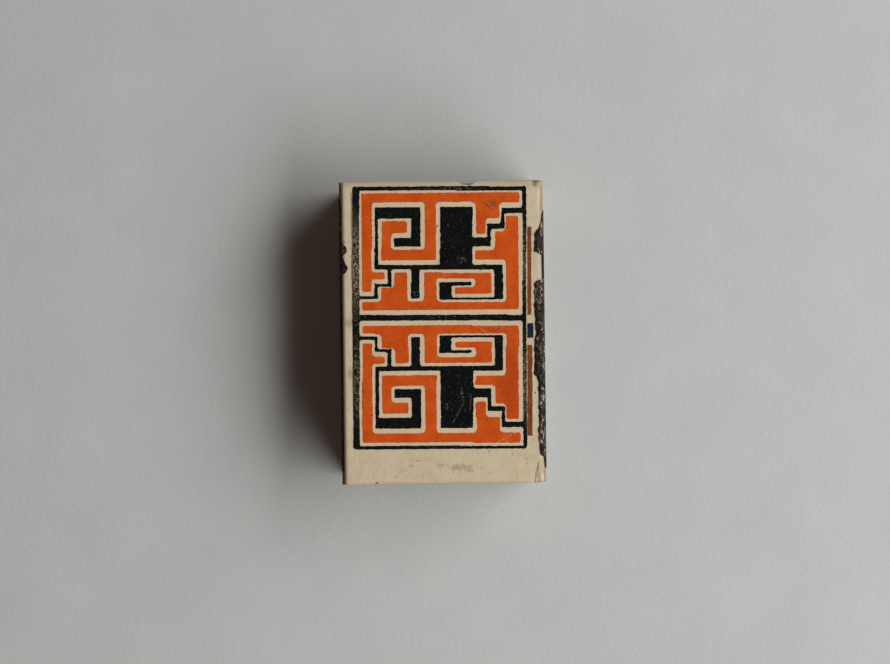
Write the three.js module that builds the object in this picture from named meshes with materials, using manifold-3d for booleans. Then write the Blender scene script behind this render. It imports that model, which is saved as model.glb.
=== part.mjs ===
// A small card matchbox: a sleeve glued from one strip of card, a folded tray that
// slides through it, the matches in the tray, a striking coat down both narrow sides,
// and a stepped fret printed on top in orange and black.
// Millimetres. X runs across the box, Y along it, Z up; the box lies on its back.
import * as THREE from 'three';
import { mergeVertices } from 'three/addons/utils/BufferGeometryUtils.js';
import Module from 'manifold-3d';

const wasm = await Module();
wasm.setup();

// The matches, which the rest of the box is sized to hold
const SPLINT = 1.9;
const MATCH_LENGTH = 43;
const HEAD_DIAMETER = 2.9;
const HEAD_LENGTH = 4.6;
const HEAD_OVERHANG = 0.35; // composition past the end of the splint
const MATCH_LAYERS = 3;
const MATCHES_PER_LAYER = 12;
const HEAD_GAP = 0.1; // between a head and the splint beside it
const REST_GAP = 0.25; // between one layer and the next
const STAGGER = 4.7; // every other match lies this much further forward
const LAYER_YAW = [0.5, -0.8, 0.7]; // degrees, how askew each layer lies
const TAIL_GAP = 0.5; // between the tails and the tray's end
const TIP_GAP = 2.25; // between the foremost heads and the tray's other end
const SIDE_SLACK = 1.45; // each side, between the matches and the tray
const ROOM_ABOVE = 3.65; // between the highest heads and the tray's rim

// The tray
const TRAY_CARD = 0.4;
const TRAY_FOLD = 0.9; // outside of the tray's folds
const END_DROP = 0.5; // the end walls stand this much lower than the long walls
const TAB_LENGTH = 9;
const TAB_SLOPE = 2.5; // how far a tab's free edge leans back at the top
const SIDE_CLEARANCE = 0.25; // each side, between tray and sleeve
const FLOOR_CLEARANCE = 0.1;
const HEADROOM = 0.5;
const TRAY_RECESS = 0.3; // each end, inside the sleeve's mouth

// The sleeve
const SLEEVE_CARD = 0.4;
const FOLD_RADIUS = 1.1; // outside of the sleeve's folds
const SEAM_HEIGHT = 1.9; // free edge of the outer side panel above the table
const FLAP_DEPTH = 2.2; // free edge of the glued inner flap below the top fold

// Wear at the ends of the sleeve's top panel: dents (down) and lifts (up), each placed
// by how far it is from the right side, and which end: 1 far, -1 near.
const WEAR = [
  { fromSide: 1.5, end: 1, depth: 0.45, reach: 0.9, run: 1.1 },
  { fromSide: 0.2, end: 1, depth: -0.3, reach: 0.7, run: 0.9 },
  { fromSide: 1.8, end: -1, depth: 0.35, reach: 1, run: 3 },
];
const EDGE_WAVE = 0.1; // how far the panel's end edges run in and out
const WAVE_LENGTH = 17;
const WAVE_RUN = 0.8;
// A nick worn out of the panel's far edge: [place across the box, depth].
const NICK = [[2.2, 0], [3.9, 0.7], [5, 0.85], [5.9, 0.5], [7.1, 0]];

// The striking coats
const COAT = 0.1;
const COAT_FOOT = 2.6; // lower edge of each coat above the table
// How far a coat laps over the fold onto the top: [place along the half length, reach].
// It was brushed on and has flaked, so its edge is ragged.
const RIGHT_LAP = [
  [0.8, 0.05], [0.7, 0.6], [0.64, 1.5], [0.53, 1.6], [0.5, 0.35], [0.35, 0.3],
  [0.32, 1.7], [0.12, 1.75], [0.09, 1.55], [-0.04, 1.6], [-0.08, 1.8], [-0.25, 1.8],
  [-0.275, 2], [-0.305, 1.3], [-0.53, 1.15], [-0.7, 1.3], [-0.815, 1], [-0.835, 0.4],
  [-0.905, 0.2],
];
const LEFT_LAP = [
  [0.89, 0.15], [0.81, 0.5], [0.61, 0.45], [0.58, 1.1], [0.54, 1.5], [0.51, 0.5],
  [0.45, 1.1], [0.42, 1.6], [0.39, 0.45], [0, 0.5], [-0.45, 0.4], [-0.905, 0.45],
];

// The print on the top panel
const INK = 0.05;
const PRINT_MARGIN = { left: 2.3, right: 3.2, far: 1, near: 6.15 };
const PRINT_SKEW = -0.5; // degrees, printed slightly askew
const FRAME_CORNER = 0.5;
const FRAME_BORDER = { left: 1.1, right: 0.55, far: 0.65, near: 0.5 };
const DIVIDER = 0.9;

// The fret as it is drawn: bars [left, right, low, high] from the middle of the print. It
// is printed to fit its frame, and the lower panel mirrors the upper in the divider.
const FRET_FRAME = [-15.15, 15.15, -22.925, 22.925];
const BLACK_SPIRAL = [
  [-11.25, 11.05, 8.5, 9.2],
  [-11.25, -10.7, 8.6, 17.5],
  [-11.25, -3.3, 17.45, 19.3],
  [-4.9, -3.3, 12.5, 19.3],
  [-7.9, -3.3, 12.5, 13.95],
  [-4.9, -3.5, 3.35, 8.6],
  [0.15, 5.8, 9.1, 19.3],
];
const BLACK_RIGHT_STEPS = [
  [5.7, 8.95, 12.45, 13.95],
  [8.45, 8.95, 12.45, 16.35],
  [8.45, 11.3, 15.5, 16.35],
  [10.9, 11.35, 15.5, 19.1],
  [10.9, 14.75, 18.25, 19.1],
];
const BLACK_LEFT_STEPS = [
  [-14.3, -10.9, 3.3, 3.8],
  [-11.3, -10.85, 3.3, 5.9],
  [-11.3, -8.5, 5.45, 5.95],
  [-9.05, -8.45, 5.5, 8.6],
];
const BLACK_HOOK = [
  [9.65, 11.05, 3.15, 8.6],
  [0, 11, 3.15, 3.45],
  [0, 2.05, 3.15, 6.2],
  [0, 5.6, 5.65, 6.2],
];
const ORANGE_SPIRAL = [
  [-13.45, 14, 20.2, 21.8],
  [-13.45, -11.85, 4.55, 21.8],
  [-12, -9.6, 6.85, 7.95],
  [-2.5, -0.55, 10.15, 20.3],
  [-10.05, -0.55, 10.15, 11.9],
  [-10.05, -8.5, 10.15, 16.8],
  [-10.05, -5.6, 14.9, 16.8],
  [6.45, 10.55, 17.45, 20.3],
  [6.45, 8, 14.6, 17.5],
];
const ORANGE_STEPS = [
  [11.7, 13.8, 1.4, 17.8],
  [9.75, 11.8, 10.15, 15.05],
  [6.35, 9.8, 10.15, 11.8],
  [-13.5, 13.8, 1.4, 2.75],
  [-10.05, -5.65, 2.7, 5.35],
  [-7.75, -5.65, 5.3, 7.85],
  [-2.55, -0.55, 2.7, 7.85],
  [-2.55, 9.1, 6.95, 7.85],
  [6.45, 9.1, 4.25, 7],
  [2.75, 9.1, 4.25, 5.25],
];
// Marks beside the frame, in the same drawing
const UPPER_BAR = [15.4, 15.9, 0.45, 15.85];
const LOWER_BAR = [15.35, 16.1, -20.65, -4.8];
const SQUARE_MARK = [15.35, 16.25, -3.55, -1.05];

const CARD = { color: 0xcbbb98, roughness: 0.85, metalness: 0 };
const TRAY_BOARD = { color: 0xc4b493, roughness: 0.9, metalness: 0 };
const STRIKING = { color: 0x33271f, roughness: 0.95, metalness: 0 };
const ORANGE_INK = { color: 0xb4481a, roughness: 0.6, metalness: 0 };
const BROWN_INK = { color: 0x75401f, roughness: 0.6, metalness: 0 };
const BLACK_INK = { color: 0x121312, roughness: 0.55, metalness: 0 };
const NAVY_INK = { color: 0x141c2e, roughness: 0.55, metalness: 0 };
const ASPEN = { color: 0xd9bf8c, roughness: 0.8, metalness: 0 };

const ARC_STEPS = 3; // a quarter turn of a fold gets twice as many facets
const PANEL_STEPS = 14;
const SLEEVE_STEPS = 16;
const HEAD_SIDES = 10;

const pitch = (SPLINT + HEAD_DIAMETER) / 2 + HEAD_GAP;
const matchesWidth = (MATCHES_PER_LAYER - 1) * pitch + HEAD_DIAMETER;
const matchesLength = MATCH_LENGTH + HEAD_OVERHANG + STAGGER;
const trayWidth = matchesWidth + 2 * SIDE_SLACK + 2 * TRAY_CARD;
const trayLength = matchesLength + TAIL_GAP + TIP_GAP + 4 * TRAY_CARD;
const trayHeight = MATCH_LAYERS * (HEAD_DIAMETER + REST_GAP) + ROOM_ABOVE + TRAY_CARD;
const trayFoot = SLEEVE_CARD + FLOOR_CLEARANCE;
const sleeveLength = trayLength + 2 * TRAY_RECESS;
const sleeveHeight = trayFoot + trayHeight + HEADROOM + SLEEVE_CARD;
const sleeveWidth = trayWidth + 2 * SIDE_CLEARANCE + 3 * SLEEVE_CARD; // one side is double
const halfWidth = sleeveWidth / 2;
const halfLength = sleeveLength / 2;
const innerRadius = FOLD_RADIUS - SLEEVE_CARD;
const innerRight = halfWidth - 2 * SLEEVE_CARD;
const trayX = -SLEEVE_CARD / 2; // the tray sits off centre, away from the double side
const printWidth = sleeveWidth - PRINT_MARGIN.left - PRINT_MARGIN.right;
const printLength = sleeveLength - PRINT_MARGIN.far - PRINT_MARGIN.near;
const printAcross = printWidth / (FRET_FRAME[1] - FRET_FRAME[0]);
const printAlong = printLength / (FRET_FRAME[3] - FRET_FRAME[2]);

const group = new THREE.Group();

// Adds one named piece with its own material.
function addPiece(name, geometry, look, parent = group) {
  const mesh = new THREE.Mesh(geometry, new THREE.MeshStandardMaterial(look));
  mesh.name = name;
  parent.add(mesh);
  return mesh;
}

// A closed geometry as a solid that can be joined and cut.
function solidOf(geometry) {
  const bare = geometry.clone();
  bare.deleteAttribute('normal');
  bare.deleteAttribute('uv');
  const merged = mergeVertices(bare, 1e-5);
  return new wasm.Manifold(new wasm.Mesh({
    numProp: 3,
    vertProperties: new Float32Array(merged.attributes.position.array),
    triVerts: new Uint32Array(merged.index.array),
  }));
}

// A joined or cut solid as a geometry again.
function geometryOf(solid) {
  const mesh = solid.getMesh();
  const geometry = new THREE.BufferGeometry();
  const points = new Float32Array(mesh.numVert * 3);
  for (let i = 0; i < mesh.numVert; i += 1) {
    for (let axis = 0; axis < 3; axis += 1) {
      points[3 * i + axis] = mesh.vertProperties[mesh.numProp * i + axis];
    }
  }
  geometry.setAttribute('position', new THREE.BufferAttribute(points, 3));
  geometry.setIndex(new THREE.BufferAttribute(new Uint32Array(mesh.triVerts), 1));
  geometry.computeVertexNormals();
  return geometry;
}

// A section drawn in X and Z, pushed along Y and centred on it.
function alongY(shape, length, steps = 1) {
  const settings = { depth: length, steps, curveSegments: ARC_STEPS, bevelEnabled: false };
  const geometry = new THREE.ExtrudeGeometry(shape, settings);
  geometry.rotateX(Math.PI / 2);
  geometry.translate(0, length / 2, 0);
  return geometry;
}

// An outline drawn in X and Y, raised from one height to another.
function upright(shape, bottom, top) {
  const settings = { depth: top - bottom, curveSegments: ARC_STEPS, bevelEnabled: false };
  const geometry = new THREE.ExtrudeGeometry(shape, settings);
  geometry.translate(0, 0, bottom);
  return geometry;
}

// A rectangle with its four corners rounded, centred on the origin.
function roundedRectangle(width, length, radius) {
  const shape = new THREE.Shape();
  const right = width / 2 - radius;
  const left = -right;
  const front = length / 2 - radius;
  const back = -front;
  shape.absarc(right, front, radius, 0, Math.PI / 2);
  shape.absarc(left, front, radius, Math.PI / 2, Math.PI);
  shape.absarc(left, back, radius, Math.PI, 1.5 * Math.PI);
  shape.absarc(right, back, radius, 1.5 * Math.PI, 2 * Math.PI);
  shape.closePath();
  return shape;
}

// The top panel's line, in steps that crowd towards both folds, where it is worn.
function alongPanel(path, from, to, z) {
  for (let i = 1; i < PANEL_STEPS; i += 1) {
    const share = 0.5 - 0.5 * Math.cos((Math.PI * i) / PANEL_STEPS);
    path.lineTo(from + (to - from) * share, z);
  }
}

// The sleeve's section: one strip of card with four folds, its first flap glued inside
// the last panel, so that the right side is two cards thick and shows both free edges.
function sleeveSection() {
  const shape = new THREE.Shape();
  const r = FOLD_RADIUS;
  const top = sleeveHeight - r;
  const underRight = halfWidth - SLEEVE_CARD;
  shape.moveTo(halfWidth, SEAM_HEIGHT);
  shape.lineTo(halfWidth, top);
  shape.absarc(halfWidth - r, top, r, 0, Math.PI / 2);
  alongPanel(shape, halfWidth - r, -halfWidth + r, sleeveHeight);
  shape.absarc(-halfWidth + r, top, r, Math.PI / 2, Math.PI);
  shape.absarc(-halfWidth + r, r, r, Math.PI, 1.5 * Math.PI);
  shape.absarc(underRight - r, r, r, 1.5 * Math.PI, 2 * Math.PI);
  shape.lineTo(underRight, SEAM_HEIGHT);
  shape.closePath();

  const inside = new THREE.Path();
  const flapTop = sleeveHeight - FLAP_DEPTH;
  inside.moveTo(innerRight, flapTop);
  inside.lineTo(underRight, flapTop);
  inside.absarc(halfWidth - r, top, innerRadius, 0, Math.PI / 2);
  alongPanel(inside, halfWidth - r, -halfWidth + r, sleeveHeight - SLEEVE_CARD);
  inside.absarc(-halfWidth + r, top, innerRadius, Math.PI / 2, Math.PI);
  inside.absarc(-halfWidth + r, r, innerRadius, Math.PI, 1.5 * Math.PI);
  inside.absarc(innerRight - innerRadius, r, innerRadius, 1.5 * Math.PI, 2 * Math.PI);
  inside.closePath();
  shape.holes.push(inside);
  return shape;
}

// Gathers the steps along the sleeve towards its ends, where it is worn.
function gatherSteps(y) {
  const share = y / halfLength;
  return halfLength * (1.5 * share - 0.5 * share ** 3);
}

// How much of a wear mark is felt this far along the box: all at the end, none past run.
function fade(y, run) {
  return Math.max(0, 1 - (halfLength - Math.abs(y)) / run);
}

// Dents, lifts and runs the top panel's ends in and out.
function wearSleeve(geometry) {
  const position = geometry.attributes.position;
  const panelFoot = sleeveHeight - FOLD_RADIUS;
  for (let i = 0; i < position.count; i += 1) {
    const x = position.getX(i);
    const y = gatherSteps(position.getY(i));
    const z = position.getZ(i);
    const end = Math.sign(y);
    const nearTop = Math.max(0, (z - panelFoot) / FOLD_RADIUS);
    let drop = 0;
    for (const mark of WEAR.filter((one) => one.end === end)) {
      const across = (x - (halfWidth - mark.fromSide)) / mark.reach;
      drop += mark.depth * Math.exp(-(across ** 2)) * fade(y, mark.run);
    }
    const wave = EDGE_WAVE * (1 + Math.sin((2 * Math.PI * x) / WAVE_LENGTH));
    position.setY(i, y - end * wave * fade(y, WAVE_RUN) * nearTop);
    position.setZ(i, z - drop * nearTop);
  }
  return geometry;
}

// The nick in the far edge of the top panel.
function nickCutter() {
  const outline = new THREE.Shape();
  outline.moveTo(NICK[0][0], halfLength + 1);
  for (const [x, depth] of NICK) {
    outline.lineTo(x, halfLength - depth);
  }
  outline.lineTo(NICK[NICK.length - 1][0], halfLength + 1);
  outline.closePath();
  return solidOf(upright(outline, sleeveHeight - 2 * SLEEVE_CARD, sleeveHeight + 1));
}

function makeSleeve() {
  const worn = wearSleeve(alongY(sleeveSection(), sleeveLength, SLEEVE_STEPS));
  addPiece('sleeve', geometryOf(solidOf(worn).subtract(nickCutter())), CARD);
}

// A striking coat: a thin skin up the side panel and over the top fold, cut to its lap.
function strikingCoat(lap, side) {
  const r = FOLD_RADIUS;
  const top = sleeveHeight - r;
  const outside = halfWidth + COAT;
  const most = Math.max(...lap.map(([, reach]) => reach)) + 1;
  const section = new THREE.Shape();
  section.moveTo(halfWidth, COAT_FOOT);
  section.lineTo(outside, COAT_FOOT);
  section.lineTo(outside, top);
  section.absarc(halfWidth - r, top, r + COAT, 0, Math.PI / 2);
  section.lineTo(halfWidth - most, sleeveHeight + COAT);
  section.lineTo(halfWidth - most, sleeveHeight);
  section.lineTo(halfWidth - r, sleeveHeight);
  section.absarc(halfWidth - r, top, r, Math.PI / 2, 0, true);
  section.closePath();

  const plan = new THREE.Shape();
  plan.moveTo(outside + 1, lap[0][0] * halfLength);
  for (const [share, reach] of lap) {
    plan.lineTo(halfWidth - reach, share * halfLength);
  }
  plan.lineTo(outside + 1, lap[lap.length - 1][0] * halfLength);
  plan.closePath();

  const skin = solidOf(alongY(section, sleeveLength));
  const coat = geometryOf(skin.intersect(solidOf(upright(plan, 0, sleeveHeight + 1))));
  if (side < 0) {
    coat.scale(-1, 1, 1);
    coat.index.array.reverse();
  }
  return coat;
}

function makeStrikingCoats() {
  addPiece('striker_right', strikingCoat(RIGHT_LAP, 1), STRIKING);
  addPiece('striker_left', strikingCoat(LEFT_LAP, -1), STRIKING);
}

// One printed bar, as a thin field of ink; mirror is -1 for the lower panel.
function inkBar([left, right, low, high], mirror = 1) {
  const width = (right - left) * printAcross;
  const length = (high - low) * printAlong;
  const x = ((left + right) / 2) * printAcross;
  const y = ((low + high) / 2) * printAlong * mirror;
  const bar = new THREE.BoxGeometry(width, length, INK);
  bar.translate(x, y, INK / 2);
  return solidOf(bar);
}

// Joins bars of one colour into one field.
function inkField(bars, mirror = 1) {
  return bars.map((bar) => inkBar(bar, mirror)).reduce((all, bar) => all.add(bar));
}

// The black frame round both panels, with the divider between them.
function inkFrame() {
  const left = -printWidth / 2 + FRAME_BORDER.left;
  const right = printWidth / 2 - FRAME_BORDER.right;
  const far = printLength / 2 - FRAME_BORDER.far;
  const near = -printLength / 2 + FRAME_BORDER.near;
  const outline = roundedRectangle(printWidth, printLength, FRAME_CORNER);
  const opening = new THREE.BoxGeometry(right - left, far - near, 3 * INK);
  opening.translate((left + right) / 2, (far + near) / 2, INK / 2);
  const divider = new THREE.BoxGeometry(printWidth - FRAME_CORNER, DIVIDER, INK);
  divider.translate(0, 0, INK / 2);
  return solidOf(upright(outline, 0, INK)).subtract(solidOf(opening)).add(solidOf(divider));
}

// The print: a black line work that is all one field, four orange fields inside it, and
// the three small marks beside the frame.
function makePrint() {
  const sheet = new THREE.Group();
  const middleX = (PRINT_MARGIN.left - PRINT_MARGIN.right) / 2;
  const middleY = (PRINT_MARGIN.near - PRINT_MARGIN.far) / 2;
  sheet.position.set(middleX, middleY, sleeveHeight);
  sheet.rotation.z = THREE.MathUtils.degToRad(PRINT_SKEW);
  group.add(sheet);
  const blackBars = [BLACK_SPIRAL, BLACK_RIGHT_STEPS, BLACK_LEFT_STEPS, BLACK_HOOK].flat();
  const black = inkFrame().add(inkField(blackBars)).add(inkField(blackBars, -1));
  addPiece('print_black', geometryOf(black), BLACK_INK, sheet);
  for (const [panel, mirror] of [['upper', 1], ['lower', -1]]) {
    const spiral = geometryOf(inkField(ORANGE_SPIRAL, mirror));
    const steps = geometryOf(inkField(ORANGE_STEPS, mirror));
    addPiece(`print_orange_${panel}_spiral`, spiral, ORANGE_INK, sheet);
    addPiece(`print_orange_${panel}_steps`, steps, ORANGE_INK, sheet);
  }
  addPiece('print_bar_upper', geometryOf(inkBar(UPPER_BAR)), BROWN_INK, sheet);
  addPiece('print_bar_lower', geometryOf(inkBar(LOWER_BAR)), BROWN_INK, sheet);
  addPiece('print_square', geometryOf(inkBar(SQUARE_MARK)), NAVY_INK, sheet);
}

// A section with square top corners and folded bottom corners, centred on X.
function foldedSection(width, bottom, top, radius) {
  const shape = new THREE.Shape();
  shape.moveTo(width / 2, top);
  shape.lineTo(-width / 2, top);
  shape.absarc(-width / 2 + radius, bottom + radius, radius, Math.PI, 1.5 * Math.PI);
  shape.absarc(width / 2 - radius, bottom + radius, radius, 1.5 * Math.PI, 2 * Math.PI);
  shape.closePath();
  return shape;
}

// A block with its four upright edges and both pairs of bottom edges folded round.
function foldedBlock(width, length, bottom, top, radius) {
  const across = alongY(foldedSection(width, bottom, top, radius), length);
  const along = alongY(foldedSection(length, bottom, top, radius), width);
  along.rotateZ(Math.PI / 2);
  const plan = upright(roundedRectangle(width, length, radius), bottom, top);
  return solidOf(across).intersect(solidOf(along)).intersect(solidOf(plan));
}

// One corner tab: it turns in from a long wall and is glued flat inside the end wall.
function cornerTab(side, end) {
  const inner = trayWidth / 2 - TRAY_CARD;
  const foot = TRAY_CARD;
  const top = trayHeight - END_DROP;
  const tab = new THREE.Shape();
  tab.moveTo(side * (inner + TRAY_CARD / 2), foot - TRAY_CARD / 2);
  tab.lineTo(side * (inner - TAB_LENGTH), foot - TRAY_CARD / 2);
  tab.lineTo(side * (inner - TAB_LENGTH + TAB_SLOPE), top);
  tab.lineTo(side * (inner + TRAY_CARD / 2), top);
  tab.closePath();
  const geometry = alongY(tab, 1.5 * TRAY_CARD);
  geometry.translate(0, end * (trayLength / 2 - 1.25 * TRAY_CARD), 0);
  return solidOf(geometry);
}

// The space above each end wall, which stands a little lower than the long walls.
function endDrop(end) {
  const width = trayWidth - 2 * TRAY_FOLD;
  const depth = 2 * TRAY_FOLD;
  const plan = new THREE.Shape();
  plan.moveTo(-width / 2, -depth / 2);
  plan.lineTo(width / 2, -depth / 2);
  plan.lineTo(width / 2, depth / 2);
  plan.lineTo(-width / 2, depth / 2);
  plan.closePath();
  const geometry = upright(plan, trayHeight - END_DROP, trayHeight + 1);
  geometry.translate(0, (end * trayLength) / 2, 0);
  return solidOf(geometry);
}

// The tray: one folded card, open on top, with a pair of glued tabs at each end.
function makeTray() {
  const fold = TRAY_FOLD;
  let body = foldedBlock(trayWidth, trayLength, 0, trayHeight, fold);
  const hollow = foldedBlock(
    trayWidth - 2 * TRAY_CARD,
    trayLength - 2 * TRAY_CARD,
    TRAY_CARD,
    trayHeight + 1,
    fold - TRAY_CARD,
  );
  body = body.subtract(hollow);
  for (const end of [-1, 1]) {
    for (const side of [-1, 1]) {
      body = body.add(cornerTab(side, end));
    }
    body = body.subtract(endDrop(end));
  }
  const tray = addPiece('tray', geometryOf(body), TRAY_BOARD);
  tray.position.set(trayX, 0, trayFoot);
}

// A match along +Y from its tail: a square splint with one end dipped.
function matchGeometry() {
  const square = new THREE.BoxGeometry(SPLINT, MATCH_LENGTH, SPLINT);
  square.translate(0, MATCH_LENGTH / 2, 0);
  const r = HEAD_DIAMETER / 2;
  const tip = MATCH_LENGTH + HEAD_OVERHANG;
  const neck = tip - HEAD_LENGTH;
  const profile = [
    new THREE.Vector2(0, neck),
    new THREE.Vector2(SPLINT * 0.5, neck),
    new THREE.Vector2(r * 0.93, neck + HEAD_LENGTH * 0.22),
    new THREE.Vector2(r, neck + HEAD_LENGTH * 0.55),
    new THREE.Vector2(r * 0.96, tip - HEAD_LENGTH * 0.16),
    new THREE.Vector2(r * 0.62, tip - HEAD_LENGTH * 0.03),
    new THREE.Vector2(0, tip),
  ];
  const head = new THREE.LatheGeometry(profile, HEAD_SIDES);
  return geometryOf(solidOf(square).add(solidOf(head)));
}

// Three layers of matches, heads all one way. Heads are thicker than splints, so each
// layer leans a little more than the one below it.
function makeMatches() {
  const geometry = matchGeometry();
  const tailY = -trayLength / 2 + 2 * TRAY_CARD + TAIL_GAP;
  const headY = MATCH_LENGTH - HEAD_LENGTH / 2;
  const floor = trayFoot + TRAY_CARD;
  for (let layer = 0; layer < MATCH_LAYERS; layer += 1) {
    const tailZ = floor + (layer + 1) * REST_GAP + (layer + 0.5) * SPLINT;
    const headZ = floor + (layer + 1) * REST_GAP + (layer + 0.5) * HEAD_DIAMETER;
    const turned = new THREE.Group();
    turned.position.set(trayX, 0, 0);
    turned.rotation.z = THREE.MathUtils.degToRad(LAYER_YAW[layer % LAYER_YAW.length]);
    group.add(turned);
    for (let i = 0; i < MATCHES_PER_LAYER; i += 1) {
      const number = String(layer * MATCHES_PER_LAYER + i + 1).padStart(2, '0');
      const match = addPiece(`match_${number}`, geometry, ASPEN, turned);
      const x = (i - (MATCHES_PER_LAYER - 1) / 2) * pitch;
      match.position.set(x, tailY + (i % 2) * STAGGER, tailZ);
      match.rotation.x = Math.atan2(headZ - tailZ, headY);
    }
  }
}

makeSleeve();
makeStrikingCoats();
makePrint();
makeTray();
makeMatches();

export default group;
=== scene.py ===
# %% [markdown]
# A small card matchbox, seen from straight above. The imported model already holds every
# piece at its true size: the sleeve, the tray, the matches, the two striking coats and
# the printed fields of the fret. This lesson gives them their looks: worn card, thin
# ink, gritty striking coats and real matches. We work in metres, as Blender does.

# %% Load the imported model
import math

import bpy
from mathutils import Matrix, Vector


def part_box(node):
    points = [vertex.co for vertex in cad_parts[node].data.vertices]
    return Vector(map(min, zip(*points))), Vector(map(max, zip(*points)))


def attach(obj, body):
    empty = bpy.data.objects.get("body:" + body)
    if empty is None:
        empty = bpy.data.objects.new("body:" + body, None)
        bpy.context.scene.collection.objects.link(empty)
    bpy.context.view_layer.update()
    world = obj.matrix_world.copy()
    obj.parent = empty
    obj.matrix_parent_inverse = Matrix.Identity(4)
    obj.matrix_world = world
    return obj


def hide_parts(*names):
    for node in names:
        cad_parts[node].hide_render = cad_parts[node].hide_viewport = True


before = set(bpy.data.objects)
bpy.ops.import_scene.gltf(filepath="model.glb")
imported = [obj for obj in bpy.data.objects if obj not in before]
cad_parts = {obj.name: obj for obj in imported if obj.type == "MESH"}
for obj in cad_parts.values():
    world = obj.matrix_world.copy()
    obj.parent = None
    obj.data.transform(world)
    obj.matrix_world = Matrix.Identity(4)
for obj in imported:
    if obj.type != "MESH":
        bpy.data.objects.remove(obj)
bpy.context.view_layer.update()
MM = 0.001
sleeve_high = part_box("sleeve")[1]
print("pieces in the frame:", len(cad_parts))
print("the sleeve's top is at", round(sleeve_high.z / MM, 2), "mm")

# %% [markdown]
# The camera looks straight down, as the photographer did. We could guess a distance,
# but it is better worked out: the photograph shows so many pixels to a millimetre on
# the top face, so a chosen lens fixes the height. The box lies a little turned in the
# picture, so the camera is rolled instead of the box, which stays in its frame.

# %% Camera
FRAME_PIXELS = 890
PIXELS_PER_MM = 5.72  # on the top face
LENS_MM = 50
SENSOR_MM = 36
ROLL_DEGREES = -0.72
AIM_X = 0.45 * MM
AIM_Y = 0.07 * MM
NEAREST_SEEN = 0.01  # metres

seen_width = FRAME_PIXELS / PIXELS_PER_MM * MM
height = seen_width * LENS_MM / SENSOR_MM
bpy.ops.object.camera_add(location=(AIM_X, AIM_Y, sleeve_high.z + height))
camera = bpy.context.object
camera.rotation_euler = (0, 0, math.radians(ROLL_DEGREES))
camera.data.lens = LENS_MM
camera.data.sensor_width = SENSOR_MM
camera.data.clip_start = NEAREST_SEEN
bpy.context.scene.camera = camera
print("camera height above the box:", round(height / MM), "mm")

# %% [markdown]
# Materials are sums and products of noise, so they read best as plain arithmetic. A
# small class wraps a socket and turns each operator into a Math node.

# %% Shader arithmetic
class Value:
    """A socket that can be used in an expression."""

    def __init__(self, tree, socket):
        self.tree = tree
        self.socket = socket

    def math(self, operation, first, second=None):
        node = self.tree.nodes.new("ShaderNodeMath")
        node.operation = operation
        for slot, value in zip(node.inputs, (first, second)):
            if isinstance(value, Value):
                self.tree.links.new(value.socket, slot)
            elif value is not None:
                slot.default_value = value
        return Value(self.tree, node.outputs[0])

    def __add__(self, other):
        return self.math("ADD", self, other)

    def __radd__(self, other):
        return self.math("ADD", other, self)

    def __sub__(self, other):
        return self.math("SUBTRACT", self, other)

    def __rsub__(self, other):
        return self.math("SUBTRACT", other, self)

    def __mul__(self, other):
        return self.math("MULTIPLY", self, other)

    def __rmul__(self, other):
        return self.math("MULTIPLY", other, self)

    def __abs__(self):
        return self.math("ABSOLUTE", self)

    def root(self):
        return self.math("SQRT", self)

    def smaller(self, other):
        return self.math("MINIMUM", self, other)

    def larger(self, other):
        return self.math("MAXIMUM", self, other)


def rgb(red, green, blue):
    """A colour as a paint chart gives it, 0 to 255, turned into light by the sRGB curve."""
    steps = [level / 255 for level in (red, green, blue)]
    return tuple(s / 12.92 if s <= 0.04045 else ((s + 0.055) / 1.055) ** 2.4 for s in steps)


print("cream card in light:", [round(c, 3) for c in rgb(178, 161, 130)])

# %% [markdown]
# A finish is one material. It knows where a point lies on the object, in millimetres, so
# that a mark can go where the picture shows it. Noises, ramps, soft spots and thin lines
# are all that it draws, and every other kind of node is made in one place.

# %% A finish and the nodes that it is made of
MIX_AMOUNT, MIX_UNDER, MIX_OVER, MIX_RESULT = 0, 6, 7, 2  # a Mix node's colour sockets


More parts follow.
